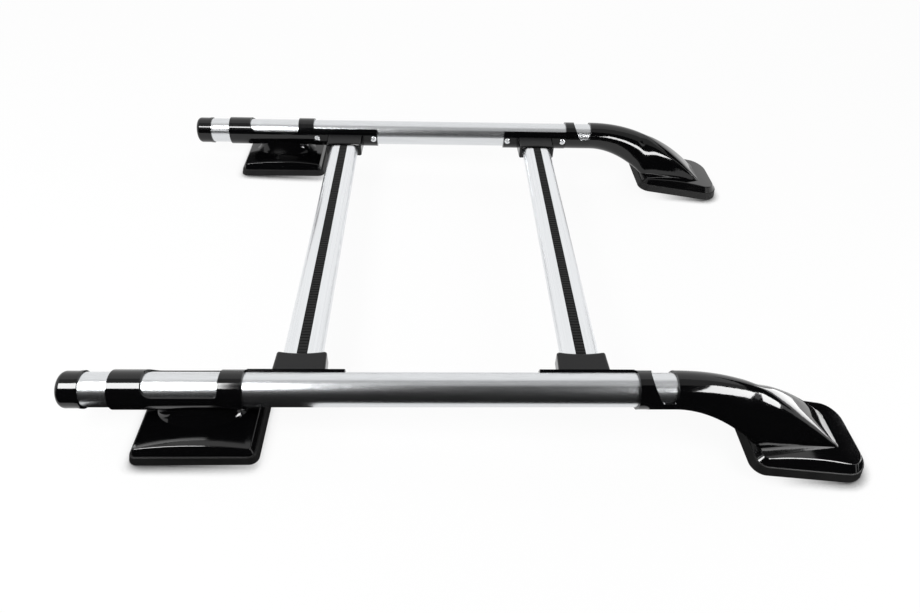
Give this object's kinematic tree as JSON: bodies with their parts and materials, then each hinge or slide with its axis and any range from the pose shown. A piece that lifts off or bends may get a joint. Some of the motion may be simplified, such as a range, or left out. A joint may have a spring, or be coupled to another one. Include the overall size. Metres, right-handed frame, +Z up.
{
  "type": "roof rack with side rails and crossbars",
  "caption": "Roof rack: tubular aluminium side rails on black moulded feet with rubber pads, the front feet swept down, joined by flat crossbars with ribbed rubber strips",
  "frame": {"origin": "On the floor under the middle of the rack's bounding box", "axes": "+X along the rails towards the swept front feet, +Y across to the left rail, +Z up"},
  "size_m": [1.4248, 1.105, 0.1654],
  "materials": {
    "anodised_aluminium": "satin clear anodised tube",
    "bar_aluminium": "matt clear anodised extrusion",
    "gloss_black_abs": "high-gloss moulded black",
    "black_nylon": "fine-grained moulded black",
    "black_rubber": "moulded matt black",
    "strip_rubber": "extruded ribbed black",
    "zinc_steel": "bright zinc plated",
    "brass_insert": "plain turned"
  },
  "bodies": {
    "root": {"right_rail_tube": "anodised_aluminium", "right_rail_end_cap": "gloss_black_abs", "right_rear_foot": "gloss_black_abs", "right_rear_foot_gasket": "black_rubber", "right_front_foot": "gloss_black_abs", "right_front_foot_gasket": "black_rubber", "left_rail_tube": "anodised_aluminium", "left_rail_end_cap": "gloss_black_abs", "left_rear_foot": "gloss_black_abs", "left_rear_foot_gasket": "black_rubber", "left_front_foot": "gloss_black_abs", "left_front_foot_gasket": "black_rubber", "rear_crossbar": "bar_aluminium", "rear_crossbar_strip": "strip_rubber", "rear_crossbar_right_bracket": "black_nylon", "rear_crossbar_left_bracket": "black_nylon", "front_crossbar": "bar_aluminium", "front_crossbar_strip": "strip_rubber", "front_crossbar_right_bracket": "black_nylon", "front_crossbar_left_bracket": "black_nylon", "bracket_screws": "zinc_steel", "bar_screws": "zinc_steel", "roof_inserts": "brass_insert"}
  },
  "joints": []
}
